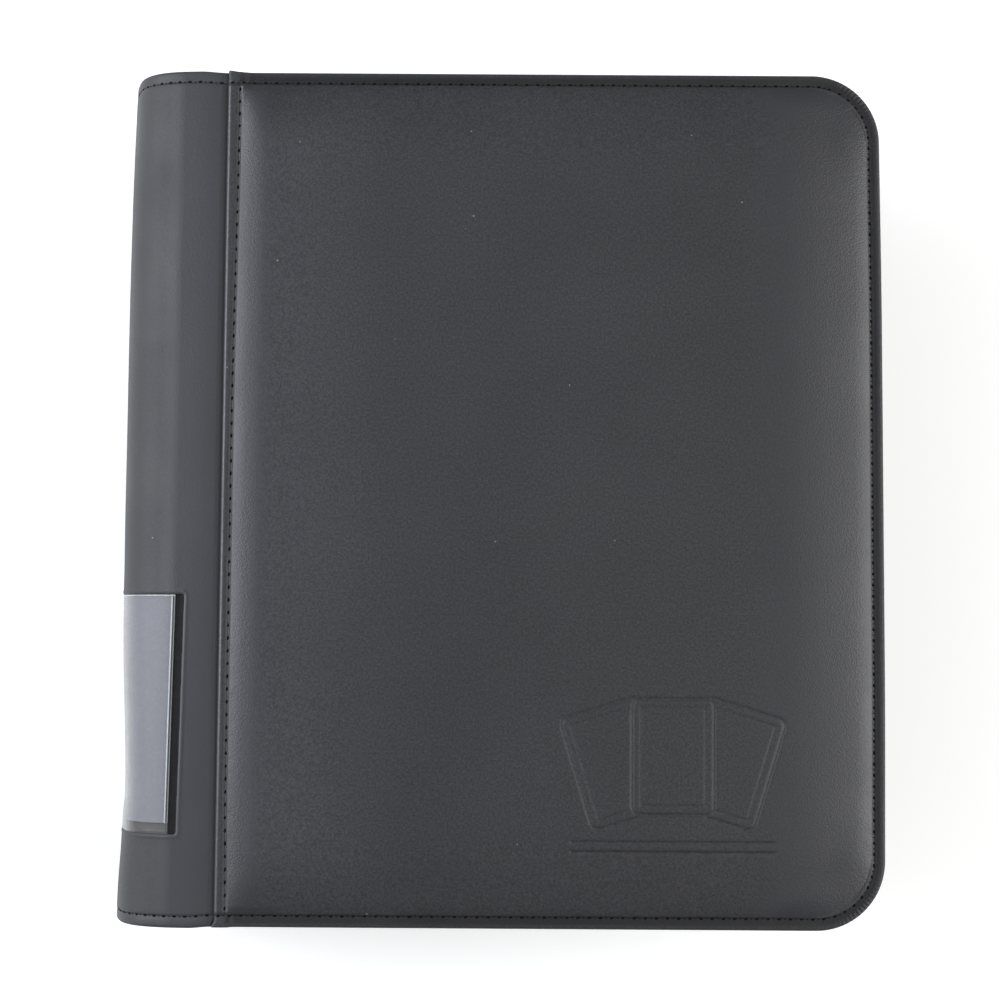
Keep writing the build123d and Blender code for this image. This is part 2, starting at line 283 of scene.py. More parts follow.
def rounded(x, y):
    """Moves a square grid's points so that its lines follow the two rounded corners."""
    beyond_x, beyond_y = np.maximum(x - arc_x, 0), np.maximum(np.abs(y) - arc_y, 0)
    reach = np.hypot(beyond_x, beyond_y)
    share = np.maximum(beyond_x, beyond_y) / np.maximum(reach, 1e-9)
    share = np.where((beyond_x > 0) & (beyond_y > 0), share, 1)
    new_x = np.minimum(x, arc_x) + beyond_x * share
    new_y = np.sign(y) * (np.minimum(np.abs(y), arc_y) + beyond_y * share)
    return new_x, new_y


def inset(points, amount):
    """Points on a cover's outline, moved in from its edge but not from its seam."""
    points = points.copy()
    x, y = points[:, 0], np.abs(points[:, 1])
    beyond_x, beyond_y = np.maximum(x - arc_x, 0), np.maximum(y - arc_y, 0)
    reach = np.maximum(np.hypot(beyond_x, beyond_y), 1e-9)
    share = amount / reach
    on_edge = x - seam_x > under_hem
    scale = (half_height - amount) / half_height
    points[:, 0] = np.where(on_edge, x - beyond_x * share, x)
    points[:, 1] = np.sign(points[:, 1]) * np.where(on_edge, y - beyond_y * share, y * scale)
    return points


def edge_distance(x, y):
    """How far a point of a cover's plan is inside its edge."""
    beyond_x, beyond_y = np.maximum(x - arc_x, 0), np.maximum(np.abs(y) - arc_y, 0)
    in_corner = fore_corner_radius - np.hypot(beyond_x, beyond_y)
    straight = np.minimum(fore_edge_x - x, half_height - np.abs(y))
    return np.where((beyond_x > 0) & (beyond_y > 0), in_corner, straight)


def pad_distance(x, y):
    """Distance inside the edge whose lines turn ever wider round the corners further in."""
    near = edge_distance(x, y)
    wide = 46.0
    short_x = np.maximum(wide - (fore_edge_x - x), 0)
    short_y = np.maximum(wide - (half_height - np.abs(y)), 0)
    far = wide - np.hypot(short_x, short_y)
    share = ramp(near, 0, 22)
    return near * (1 - share) + far * share


def swell(distance, reach):
    """Rise of a soft pad from 0 at its edge to 1, steepest at the edge."""
    return 1 - (1 - np.clip(distance / reach, 0, 1)) ** 2


def roll(distance, radius, width=None):
    """How far a rounded edge falls at a distance inside it."""
    short = 1 - np.clip(distance / (width or radius), 0, 1)
    return radius * (1 - np.sqrt(np.maximum(1 - short**2, 0)))


def valley(d):
    """Depth of the furrow that the border's stitches pull, steep on its inner side."""
    width = np.where(d > stitch_inset, valley_width, 2.4 * valley_width)
    return valley_depth * groove(d - stitch_inset, width)


# --- padded panels ---
under_hem = wrap_end_x - seam_x + 0.1
hem_rest_z = border_z + play


def card_distance(x, y, centre_x, centre_y, lean):
    """Signed distance from the outline of one blank rounded card."""
    half_width, half_length, radius = 15.0, 21.0, 3.0
    turned = math.radians(lean)
    across = (x - centre_x) * math.cos(turned) + (y - centre_y) * math.sin(turned)
    along = (y - centre_y) * math.cos(turned) - (x - centre_x) * math.sin(turned)
    out_x = np.abs(across) - half_width + radius
    out_y = np.abs(along) - half_length + radius
    outside = np.hypot(np.maximum(out_x, 0), np.maximum(out_y, 0))
    return outside + np.minimum(np.maximum(out_x, out_y), 0) - radius


def pressed_cards(x, y):
    """Depth of a blind-pressed fan of three blank cards over a plain double rule."""
    centre_x, centre_y = 65.0, -96.0
    fan = [(-21.0, -2.5, 17.0), (0.0, 0.0, 0.0), (21.0, -2.5, -17.0)]
    depth = np.zeros_like(x)
    shapes = [card_distance(x, y, centre_x + dx, centre_y + dy, lean) for dx, dy, lean in fan]
    order = [0, 2, 1]
    for place, index in enumerate(order):
        shown = np.ones_like(x)
        for other in order[place + 1:]:
            shown = shown * ramp(shapes[other], 0.2, 1.0)
        depth = np.maximum(depth, groove(shapes[index], 0.55) * shown)
        inner = groove(shapes[index] + 3.2, 0.45) * 0.6
        depth = np.maximum(depth, inner * shown)
    for level, width in ((-127.0, 38.0), (-130.5, 38.0)):
        along = 1 - ramp(np.abs(x - centre_x), width - 1, width)
        depth = np.maximum(depth, groove(y - level, 0.5) * along)
    return depth


def seam_spread(y):
    """How much wider the hem is towards the cover's ends."""
    return 1.1 * ramp(y, 20, 150) + 0.5 * ramp(-y, 110, 150)


def panel_height(x, y, e, d, pressed):
    """Height above the border at e from the hem's edge and d from the outer edge."""
    inside = pad_distance(x, y) - pad_inset
    past_seam = e - seam_spread(y)
    # The pad rises from the border and from the seam, and sooner where the two meet.
    rise_d = 0.85 * swell(inside, 33) + 0.15 * swell(inside, 6)
    rise_e = 0.8 * swell(past_seam - pad_start, 11.0) + 0.2 * swell(past_seam - pad_start, 70)
    near_seam = 1 - ramp(e, 8, 26)
    hem_rise = rise_d + (ramp(d, 4, 8) - rise_d) * near_seam
    pad_rise = rise_d + 0.8 * (np.maximum(swell(inside, 16), rise_d) - rise_d) * near_seam
    # The hem is a plateau, lower on the border than beside the pad.
    hem = hem_height * (1 - 0.45 * (1 - ramp(d, 4.0, 6.0)))
    level = hem * (1 - ramp(past_seam, hem_width, hem_fade) * (1 - hem_rise))
    level = level + (crown_height - hem) * rise_e * pad_rise
    # Slow unevenness, puckers beside both rows of stitches, and the rows' furrows.
    inner = ramp(d, 4, 10) * ramp(e, 4, 12)
    level = level + inner * (0.10 * waves(x, y, 3, 60) - 0.12)
    puckers = groove(d - 5.8, 1.6) + groove(past_seam - 5.0, 1.4) * ramp(d, 4, 7)
    level = level + 0.06 * puckers * waves(x, y, 5, 7)
    level = level - valley(d)
    level = level - seam_depth * groove(past_seam - seam_inset, 0.65) * ramp(d, 3.6, 5.2)
    # Fine pleats on the rim of the fore corners.
    turn = np.arctan2(np.maximum(np.abs(y) - arc_y, 0), np.maximum(x - arc_x, 1e-6))
    corner = ramp(turn, 0.15, 0.5) * (1 - ramp(turn, 1.05, 1.4)) * (x > arc_x)
    pleat = np.sin(turn * fore_corner_radius * TURN / 1.7 + 1.2 * waves(x, y, 7, 9))
    level = level + 0.08 * corner * (1 - ramp(d, 1.4, 3.4)) * pleat
    if pressed:
        level = level - 0.42 * pressed_cards(x, y)
    edge = edge_radius * (0.4 + 0.6 * ramp(e, 3, 6))
    return level - roll(d, edge) - roll(e, hem_radius, 1.3)


def padded_panel(name, back):
    """Leather over its foam pad, with the hem, the stitched valley and the turned edge."""
    # Grid lines stand close at the edges and stitches, and under the pressed figure.
    near = [(0, 1.3, 0.15), (1.3, 3.0, 0.34), (3.0, 6.2, 0.2)]
    fine, coarse = 0.42, 3
    e_lines = lines(*near, (6.2, 9, 0.45), (9, 16, 1.0)) + seam_x
    far_x = fore_edge_x - lines(*near, (6.2, 26, 0.5))
    span_x = [(16, 30, 2), (30, 122, coarse)]
    if not back:
        span_x = [(16, 30, 2), (30, 120, coarse), (120, 214, fine)]
    last = span_x[-1][1]
    mid_x = seam_x + lines(*span_x, (last, fore_edge_x - seam_x - 26, 2.2))
    x_lines = np.unique(np.round(np.concatenate([e_lines, mid_x, far_x]), 4))
    low_y = lines(*near, (6.2, 26, 0.5)) - half_height
    mid_y = lines((26 - half_height, half_height - 26, coarse))
    if not back:
        mid_y = lines((26 - half_height, -70, fine), (-70, half_height - 26, coarse))
    y_lines = np.unique(np.round(np.concatenate([low_y, mid_y, -low_y]), 4))
    x, y = np.meshgrid(x_lines, y_lines)
    e = x - seam_x
    d = np.minimum(fore_edge_x - x, half_height - np.abs(y))
    round_x, round_y = rounded(x, y)
    height = panel_height(round_x, round_y, e, d, not back)
    points = np.stack([round_x, round_y, border_z + height], -1)
    # The hem's two ends stand out a little.
    hem = 1 - ramp(e, 0.8, 4)
    points[..., 0] -= 1.1 * hem * groove(y + half_height, 1.7)
    points[..., 1] += 0.4 * hem * ramp(y, half_height - 4, half_height)
    if back:
        points = on_back(points)
    piece = shaped_grid(name, points)
    # Masks for the finish: painted shade on the flat border, a painted highlight on stretched
    # leather and painted light on its palest parts.
    painted_shade_strip = ramp(d, 0.4, 2.6) * (1 - ramp(d, 4.3, 4.9)) * ramp(e, 3, 5)
    mark(piece, "painted_shade_strip", painted_shade_strip.ravel())
    hem_edge = 1 - ramp(e, 0.9, 1.6)
    beside_seam = ramp(e - seam_spread(y), 3.4, 4.2) * (1 - ramp(e, 9, 20)) + 1.9 * hem_edge
    beside_border = 1.7 * ramp(d, 4.4, 5.2) * (1 - ramp(d, 5, 22)) * ramp(round_x, 90, 110)
    from_fore = fore_edge_x - round_x
    off_ends = ramp(half_height - np.abs(y), 8, 30)
    shoulder = 0.9 * ramp(from_fore, 11, 22) * (1 - ramp(from_fore, 22, 58)) * off_ends
    # Painted highlight: lighter and smoother leather beside the seam, the border, the fore edge's
    # shoulder and the hem's edge.
    taut_painted_highlight = (beside_seam + beside_border) * ramp(d, 4.4, 5.6) + shoulder
    mark(piece, "taut_painted_highlight", taut_painted_highlight.ravel())
    # Painted light: paler leather on the slope beside the seam and on the hem's edge.
    pale = 0.9 * ramp(e, 8, 13) * (1 - ramp(e, 26, 70)) * off_ends + hem_edge
    mark(piece, "pale", pale.ravel())

    def as_front(ring):
        """A ring's copy, and for the back cover turned over to the front, or back again."""
        return on_back(ring) if back else ring.copy()

    def on_hem(ring):
        return ring[:, 0] - seam_x < under_hem

    def levelled(ring, edge_z):
        """The open edge at edge_z round the cover, and on the spine's leather under the hem."""
        ring = as_front(ring)
        ring[:, 2] = np.where(on_hem(ring), hem_rest_z, edge_z)
        return ring

    def side(ring):
        ring = levelled(ring, inner_z)
        ring[:, 0] += np.where(ring[:, 0] < seam_x + play, hem_undercut, 0)
        return as_front(ring)

    def turned(ring):
        return as_front(inset(levelled(ring, inner_z), edge_radius))

    def under(ring):
        ring = levelled(ring, inner_z + turn_in)
        hem = on_hem(ring)
        short = 1 - (under_hem - (ring[:, 0] - seam_x)) * 0.6 / half_height
        ring[:, 1] = np.where(hem, ring[:, 1] * short, ring[:, 1])
        ring[:, 0] = np.where(hem, seam_x + under_hem, ring[:, 0])
        return as_front(ring)

    def closing(ring):
        ring = as_front(ring)
        ring[:, 2] = board_high[2] + play
        return as_front(ring)

    fold_edge(piece, side, turned, under, closing)
    draw_in(piece)
    return close_up(piece, angle=50)


front_panel = padded_panel("front_padded_panel", False)
back_panel = padded_panel("back_padded_panel", True)
for panel, side_name in ((front_panel, "front"), (back_panel, "back")):
    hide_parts(side_name + "_panel_leather", side_name + "_padding")
    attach(panel, side_name + "_cover")


# --- spine ---
def roll_point(s, depth):
    """x and z at s along the wall from where the spine's corner starts, `depth` inside."""
    turn = np.clip(s, 0, corner_length) / spine_corner_radius
    bow_turn = corner_angle + np.maximum(s - corner_length, 0) / bow_radius
    corner_reach, bow_reach = spine_corner_radius - depth, bow_radius - depth
    corner_x = tangent_x - np.minimum(s, 0) - corner_reach * np.sin(turn)
    corner_z = border_z - spine_corner_radius + corner_reach * np.cos(turn)
    bow_x = spine_x + bow_radius - bow_reach * np.sin(bow_turn)
    bow_z = middle_z + bow_reach * np.cos(bow_turn)
    on_bow = s > corner_length
    return np.where(on_bow, bow_x, corner_x), np.where(on_bow, bow_z, corner_z)


def along_spine(s, y, depth, back):
    """Points at s along the spine's wall, which reach a little further out at its middle."""
    x, z = roll_point(s, depth)
    points = np.stack([x, y * (1 + 0.0035 * ramp(s, -14, -6)), z], -1)
    return on_back(points) if back else points


def slanted(y, top, bottom):
    """Distance along the wall of a line that leans away from the seam, from its two ends."""
    share = (window_high_y - y) / (window_high_y - window_low_y)
    return top + (bottom - top) * share - (seam_x - tangent_x)


def window_edge(s, y):
    """How far a point is inside the pressed label window."""
    inside_s = s - slanted(y, window_top_gap, window_bottom_gap)
    inside_y = np.minimum(y - window_low_y, window_high_y - y)
    radius = 1.0
    corner = radius - np.hypot(np.minimum(inside_s - radius, 0), np.minimum(inside_y - radius, 0))
    in_corner = (inside_s < radius) & (inside_y < radius)
    return np.where(in_corner, corner, np.minimum(inside_s, inside_y))


def sag(s, y):
    """How deep the spine's layers settle: at its corners, its top end and under the label."""
    top = 1.5 * (np.maximum(y, 0) / half_height) ** 4
    label = 1.3 * ramp(-y, 40, 118) * (1 - ramp(-y, 120, 154))
    label = label + 0.7 * ramp(-y, 50, 108) * (1 - ramp(-y, 111, 121))
    fullness = 0.55
    return groove(s - 6, 11) + ramp(s, 8, 32) * (top + label - fullness)


def wrap_depth(s, y):
    """Depth of the wrap's outer face, with rolled ends, stitch valleys and label window."""
    d = half_height - np.abs(y)
    depth = roll(d, edge_radius) + valley(d)
    inside = window_edge(s, y)
    # The window's slope and its raised lip.
    depth = depth + window_depth * ramp(inside, -0.1, window_slope)
    depth = depth - 0.14 * groove(inside + 0.8, 0.6)
    depth = depth + sag(s, y)
    # Where the wrap lies on a board, the window stays shallower than the leather.
    over_board = np.minimum(depth, leather - 0.12 + 3 * ramp(s, -2.2, 0.8))
    depth = np.where(inside > -0.5, over_board, depth)
    # The wrap dives under the cover's hem.
    depth = depth + 0.5 * (1 - ramp(s, tangent_x - seam_x + 0.1, tangent_x - seam_x + 2.6))
    flat = 1 - ramp(inside, -4, -1)
    return depth + 0.05 * flat * (waves(s, y, 11, 45) + 0.5)


def spine_half(name, back):
    """Half of the spine's leather, from under a cover's hem to the middle of the spine."""
    ends = [(0, 1.2, 0.2), (1.2, 3.2, 0.4), (3.2, 5.2, 0.2), (5.2, 12, 1.2)]
    low = lines(*ends) - half_height
    edge_low = lines((window_low_y - 2, window_low_y + 2, 0.22))
    edge_high = lines((window_high_y - 2, window_high_y + 2, 0.22))
    rest = lines(
        (12 - half_height, window_low_y - 2, 3),
        (window_low_y + 2, window_high_y - 2, 4),
        (window_high_y + 2, half_height - 12, 4),
    )
    y_lines = np.unique(np.round(np.concatenate([low, -low, edge_low, edge_high, rest]), 4))
    s_lines = lines(
        (tangent_x - wrap_end_x, -16.6, 1),
        (-16.6, -13, 0.3),
        (-13, -5, 1.5),
        (-5, 3, 0.25),
        (3, quarter_length, 1.0),
    )
    s, outer_y = np.meshgrid(s_lines, y_lines)
    outer = along_spine(s, outer_y, wrap_depth(s, outer_y), back)
    inner_y = half_height - leather
    # The turned ends and the inner face, as (y, depth), from one end to the other.
    ends_in = [
        (half_height, wall - 0.3), (half_height - 0.3, wall), (inner_y, wall), (inner_y, leather),
    ]
    across = np.linspace(inner_y, -inner_y, 40)[1:-1]
    path = ends_in + [(y, leather) for y in across]
    path += [(-y, depth) for y, depth in reversed(ends_in)]
    s_inner, y_inner = np.meshgrid(s_lines, [y for y, _ in path])
    depth_inner = np.meshgrid(s_lines, [depth for _, depth in path])[1]
    depth_inner = depth_inner + np.where(depth_inner < wall / 2, sag(s_inner, y_inner), 0)
    inside = along_spine(s_inner, y_inner, depth_inner, back)
    points = np.concatenate([outer, inside, outer[:1]])
    piece = shaped_grid(name, points)
    d = half_height - np.abs(outer_y)
    # Masks for the finish: the window's floor, painted shade along both ends, a painted highlight
    # where the spine starts to turn, and painted light on its flat part and its middle.
    for label, values in (
        ("recess", ramp(window_edge(s, outer_y), -0.2, 0.5)),
        ("painted_shade_strip", 0.45 * ramp(d, 0.5, 1.3) * (1 - ramp(d, 4.2, 4.7))),
        ("taut_painted_highlight", 0.9 * ramp(s, -18, -6) * (1 - ramp(s, 0, 9))),
        ("pale", 0.45 * (1 - ramp(s, 3, 10)) + 0.35 * ramp(s, 18, 26)),
    ):
        all_round = np.zeros(points.shape[:2])
        all_round[:len(outer)] = values
        mark(piece, label, all_round.ravel())
    return close_up(piece, merge=True, angle=50)


def sheet_half(name, back):
    """Half of the stiff sheet between the spine's leather and its lining."""
    outer_depth, inner_depth = leather + 0.02, wall - lining_thickness - 0.02
    reach = half_height - edge_radius - play
    s_lines = lines((-core_on_border, 0, 2), (0, quarter_length, 1.2))
    path = [
        (-reach, outer_depth), (reach, outer_depth), (reach, inner_depth), (-reach, inner_depth),
    ]
    loop = []
    for (y0, d0), (y1, d1) in zip(path, path[1:] + path[:1]):
        count = 40 if y0 != y1 else 2
        loop += [(y0 + (y1 - y0) * k / count, d0 + (d1 - d0) * k / count) for k in range(count)]
    loop.append(loop[0])
    s, y = np.meshgrid(s_lines, [place[0] for place in loop])
    depth = np.meshgrid(s_lines, [place[1] for place in loop])[1]
    depth = depth + sag(s, y) * (inner_depth - depth) / (inner_depth - outer_depth)
    return close_up(shaped_grid(name, along_spine(s, y, depth, back)), merge=True)


def bend_half(piece):
    """Bakes a spine half's place into its points."""
    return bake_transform(piece)


def lining_half(name, back):
    """The lining from a cover's fore-edge to the middle of the spine, with its stitched valley."""
    far = fore_edge_x - edge_radius
    border = [(0, 0.6, 0.3), (0.6, 1.6, 0.5), (1.6, 3.4, 0.25), (3.4, 8, 1.2), (8, 26, 3)]
    edge_x = far - lines(*border)
    s_flat = tangent_x - edge_x
    s_lines = np.unique(np.round(np.concatenate([
        s_flat, lines((s_flat.max(), 0, 6), (0, quarter_length, 1.2)),
    ]), 4))
    reach = half_height - edge_radius
    low = lines(*border) - reach
    middle = lines((26 - reach, reach - 26, 5))
    y_lines = np.unique(np.round(np.concatenate([low, -low, middle]), 4))
    s, y = np.meshgrid(s_lines, y_lines)
    d = np.minimum(s + far - tangent_x, reach - np.abs(y))
    round_x, y = rounded(tangent_x - np.minimum(s, 0), y)
    s = np.where(s < 0, tangent_x - round_x, s)
    depth = wall - 0.22 * groove(d - (stitch_inset - edge_radius), 0.5) - roll(d, 0.25)
    piece = shaped_grid(name, along_spine(s, y, depth, back))
    draw_in(piece)
    return thicken(piece, lining_thickness - play, 1 if back else -1)


def label_half(name, back, node_depth, thickness, edge_inset, low_y, high_y, weld=0.0):
    """Half of a thin sheet in the label window, with a weld's ridge along its edges.

    Its rim mask marks painted glints: bright lines on its edges, over the card's edge and at the
    card's ends.
    """
    rows = lines(
        (low_y, low_y + 2, 0.2), (low_y + 2, card_end - 1, 1), (card_end - 1, card_end + 1, 0.2),
        (card_end + 1, high_y - 2, 3), (high_y - 2, high_y, 0.2),
    )
    rows = np.unique(np.clip(rows, low_y, high_y))
    columns = lines((0, 0.05, 0.0045), (0.05, 1, 0.023))
    share, y = np.meshgrid(columns, rows)
    start = slanted(y, sleeve_gap, sleeve_bottom_gap) + edge_inset
    s = start + (quarter_length - start) * share
    from_end = np.minimum(y - low_y, high_y - y)
    from_edge = np.minimum(s - start, from_end)
    depth = node_depth + sag(s, y) - weld * groove(from_edge - 0.9, 0.3)
    piece = shaped_grid(name, along_spine(s, y, depth, back))
    # Painted glints along the sleeve's edge, the card's edge and both ends, and a faintly lighter
    # band below the card.
    beside_card = np.maximum(0.45 * groove(s - start - 0.1, 0.24), groove(s - start - 1.2, 0.24))
    at_ends = np.maximum(groove(high_y - y - 0.4, 0.2), 0.35 * groove(y - card_end - 0.1, 0.2))
    below_card = 0.09 * ramp(card_end - y, 0.3, 0.8)
    rim = np.maximum(np.maximum((y > card_end) * beside_card, at_ends), below_card)
    mark(piece, "rim", rim.ravel())
    return thicken(piece, thickness, -1 if back else 1)


spine_pieces = []
for back in (False, True):
    side_name = "back" if back else "front"
    wrap = spine_half(side_name + "_spine_leather", back)
    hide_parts(side_name + "_spine_wrap", "middle_spine_wrap")
    core = sheet_half(side_name + "_spine_sheet", back)
    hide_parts(side_name + "_spine_core", "middle_spine_core")
    lining = lining_half(side_name + "_lining_sheet", back)
    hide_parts(side_name + "_lining", "spine_lining")
    sleeve = label_half(
        side_name + "_label_sleeve", back, sleeve_level, sleeve_thickness, 0.0,
        sleeve_low[1], sleeve_high[1], weld_height,
    )
    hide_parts("label_sleeve")
    card = label_half(
        side_name + "_label_card", back, card_level, card_thickness, card_inset,
        card_end, card_head,
    )
    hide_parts("label_card")
    spine_pieces.append(
        {"wrap": wrap, "core": core, "lining": lining, "sleeve": sleeve, "card": card}
    )
    for piece in (wrap, core, lining, sleeve, card):
        bend_half(piece)


# --- stitches ---
def one_stitch():
    """Points and faces of a short length of thread that dips into its two holes."""
    bpy.ops.object.select_all(action="DESELECT")
    bpy.ops.mesh.primitive_uv_sphere_add(segments=6, ring_count=6, radius=1)
    stitch = bpy.context.object
    stitch.data.transform(Matrix.Rotation(math.pi / 2, 4, "Y"))
    for vertex in stitch.data.vertices:
        x, y, z = vertex.co
        fullness, dip = 1 - 0.25 * abs(x), 0.12 * x * x
        vertex.co = (x, y * 0.5 * fullness, z * 0.26 * fullness - dip)
    points = np.array([vertex.co for vertex in stitch.data.vertices])
    faces = [list(face.vertices) for face in stitch.data.polygons]
    bpy.data.objects.remove(stitch)
    return points, faces


thread, thread_faces = one_stitch()


def stitch_row(name, places, seed):
    """Copies the stitch to each (origin, direction along, direction up, size), as one piece."""
    draw = np.random.default_rng(seed)
    points, faces = [], []
    for origin, along, up, length in places:
        along, up = np.array(along, float), np.array(up, float)
        side = np.cross(up, along)
        lean = math.radians(draw.normal(0, stitch_lean))
        direction = along * math.cos(lean) + side * math.sin(lean)
        side = np.cross(up, direction)
        size = length * draw.normal(1, stitch_unevenness)
        width = min(1, size + 0.15)
        lengthways, sideways, upright = thread[:, :1], thread[:, 1:2], thread[:, 2:3]
        shape = lengthways * direction * size + sideways * side * width + upright * up
        faces += [[index + len(points) * len(thread) for index in face] for face in thread_faces]
        points.append(shape + origin)
    mesh = bpy.data.meshes.new(name)
    mesh.from_pydata((np.concatenate(points) * MM).tolist(), [], faces)
    piece = bpy.data.objects.new(name, mesh)
    bpy.context.scene.collection.objects.link(piece)
    return close_up(piece, angle=60)


def border_path(distance, start_x, pitch):
    """Evenly spaced places and directions along a cover's outline, `distance` inside it."""
    radius = fore_corner_radius - distance
    side, far = half_height - distance, fore_edge_x - distance
    straight = arc_x - start_x
    turn = radius * math.pi / 2
    total = 2 * straight + 2 * turn + 2 * arc_y
    count = round(total / pitch)
    path = []
    for index in range(count):
        t = (index + 0.5) * total / count
        if t < straight:
            path.append(((start_x + t, side), (1, 0)))
        elif t < straight + turn:
            angle = (t - straight) / radius
            path.append(((arc_x + radius * math.sin(angle), arc_y + radius * math.cos(angle)),
                         (math.cos(angle), -math.sin(angle))))
        elif t < straight + turn + 2 * arc_y:
            path.append(((far, arc_y - (t - straight - turn)), (0, -1)))
        elif t < total - straight:
            angle = (t - straight - turn - 2 * arc_y) / radius
            path.append(((arc_x + radius * math.cos(angle), -arc_y - radius * math.sin(angle)),
                         (-math.sin(angle), -math.cos(angle))))
        else:
            path.append(((arc_x - (t - (total - straight)), -side), (-1, 0)))
    return path


def slant(direction, degrees):
    """A row's direction turned a little, for one stitch."""
    x, y = direction
    cosine, sine = math.cos(math.radians(degrees)), math.sin(math.radians(degrees))
    return x * cosine - y * sine, x * sine + y * cosine, 0


def cover_stitches(back):
    """Places of the border's stitches, outside and on the lining, and of the seam's."""

    def placed(x, y, z):
        point = np.array((x, y, z))
        return on_back(point) if back else point

    outer, seam = [], []
    up, inner_up = ((0, 0, -1), (0, 0, 1)) if back else ((0, 0, 1), (0, 0, -1))
    row = border_path(stitch_inset, seam_x + 0.6, border_pitch / 2)
    for index, ((x, y), direction) in enumerate(row):
        here = [np.array(value) for value in (x, y, x - seam_x, stitch_inset)]
        z = border_z + float(panel_height(*here, False)) + thread_rise
        outer.append((placed(x, y, z), slant(direction, 18), up, border_sizes[index % 2]))
        if index % 2 == 0:
            inside = placed(x, y, inner_z + thread_sink)
            outer.append((inside, slant(direction, -9), inner_up, lining_size))
    reach = half_height - seam_end_gap
    count = round(2 * reach / seam_pitch)
    for index in range(count + 1):
        y = -reach + 2 * reach * index / count
        x = seam_x + seam_inset + seam_spread(y)
        origin = placed(x, y, border_z + hem_height - seam_depth + thread_rise)
        seam.append((origin, slant((0, 1), -14), up, seam_size))
    return outer, seam


def spine_end_stitches(back):
    """Places of the stitches across the spine's two ends, outside and on the lining."""
    places = []
    first, last = tangent_x - seam_x + 1.6, quarter_length
    count = 2 * round((last - first) / border_pitch)
    for index in range(count):
        s = first + (last - first) * (index + 0.5) / count
        for y in (-half_height + stitch_inset, half_height - stitch_inset):
            outer = float(wrap_depth(np.array(s), np.array(y))) - thread_rise
            sides = [(outer, 1, spine_sizes[index % 2])]
            if index % 2 == 0:
                sides.append((wall - thread_sink, -1, spine_lining_size))
            for depth, facing, length in sides:
                here = along_spine(np.array(s), y, depth, back)
                ahead = along_spine(np.array(s + 0.2), y, depth, back)
                along = (ahead - here) / np.linalg.norm(ahead - here)
                up = np.cross(along, (0, 1, 0))
                outward = here - np.array((tangent_x + 30, y, middle_z))
                if np.dot(up, outward) < 0:
                    up = -up
                places.append((here, along, up * facing, length))
    return places


for back in (False, True):
    side_name = "back" if back else "front"
    outer, seam = cover_stitches(back)
    border_row = stitch_row(side_name + "_border_stitches", outer, 21 + back)
    draw_in(border_row)
    seam_row = stitch_row(side_name + "_seam_stitches", seam, 31 + back)
    for piece in (border_row, seam_row):
        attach(piece, side_name + "_cover")
    spine_row = stitch_row(side_name + "_spine_stitches", spine_end_stitches(back), 41 + back)
    bend_half(spine_row)
    spine_pieces[back].update(border=border_row, seam=seam_row, ends=spine_row)


# --- finishes ---
def shade(colour, factor=1.0):
    """A colour made darker or lighter, as a shader takes it."""
    return *[channel * factor for channel in colour], 1


def grey(level):
    """A grey, as a shader takes it."""
    return level, level, level, 1


class Recipe:
    """Short calls for adding and linking a tree's nodes."""

    def __init__(self, tree):
        self.tree = tree

    def add(self, kind, inputs=None, **settings):
        made = self.tree.nodes.new(kind)
        for name, value in settings.items():
            setattr(made, name, value)
        self.feed(made, inputs or {})
        return made

    def feed(self, node, inputs):
        """Links or sets a node's inputs."""
        for name, value in inputs.items():
            if isinstance(value, bpy.types.NodeSocket):
                self.tree.links.new(value, node.inputs[name])
            else:
                node.inputs[name].default_value = value

    def math(self, operation, first, second=0.0):
        return self.add("ShaderNodeMath", {0: first, 1: second}, operation=operation).outputs[0]

    def plus(self, first, second):
        return self.math("ADD", first, second)

    def times(self, first, second):
        return self.math("MULTIPLY", first, second)

    def vector(self, operation, inputs):
        return self.add("ShaderNodeVectorMath", inputs, operation=operation)

    def mask(self, name):
        """What mark() keeps under this name."""
        return self.add("ShaderNodeAttribute", attribute_name=name).outputs["Fac"]

    def mix(self, share, first, second, blend="MIX"):
        made = self.add(
            "ShaderNodeMix", {0: share, 6: first, 7: second}, data_type="RGBA", blend_type=blend
        )
        return made.outputs[2]

    def span(self, value, low, high, to_low=0.0, to_high=1.0, smooth=False):
        made = self.add("ShaderNodeMapRange", {
            "Value": value, "From Min": low, "From Max": high, "To Min": to_low, "To Max": to_high,
        })
        if smooth:
            made.interpolation_type = "SMOOTHSTEP"
        return made.outputs[0]

    def noise(self, place, scale, detail=3.0, rough=0.55):
        made = self.add("ShaderNodeTexNoise", {
            "Vector": place, "Scale": scale, "Detail": detail, "Roughness": rough,
        })
        return made.outputs[0]

    def relief(self, height, depth):
        """Normals of fine relief, `depth` metres deep."""
        inputs = {"Height": height, "Distance": depth, "Strength": 1.0}
        return self.add("ShaderNodeBump", inputs).outputs[0]


def effect(name, inputs, outputs):
    """A new shader node group: its recipe, its entering sockets and its output node."""
    tree = bpy.data.node_groups.new(name, "ShaderNodeTree")
    tree.interface.new_socket("Vector", in_out="INPUT", socket_type="NodeSocketVector")
    for label, value in inputs.items():
        socket = tree.interface.new_socket(label, in_out="INPUT", socket_type="NodeSocketFloat")
        socket.default_value = value
    for label in outputs:
        tree.interface.new_socket(label, in_out="OUTPUT", socket_type="NodeSocketFloat")
    entry = tree.nodes.new("NodeGroupInput").outputs
    return Recipe(tree), entry, tree.nodes.new("NodeGroupOutput")


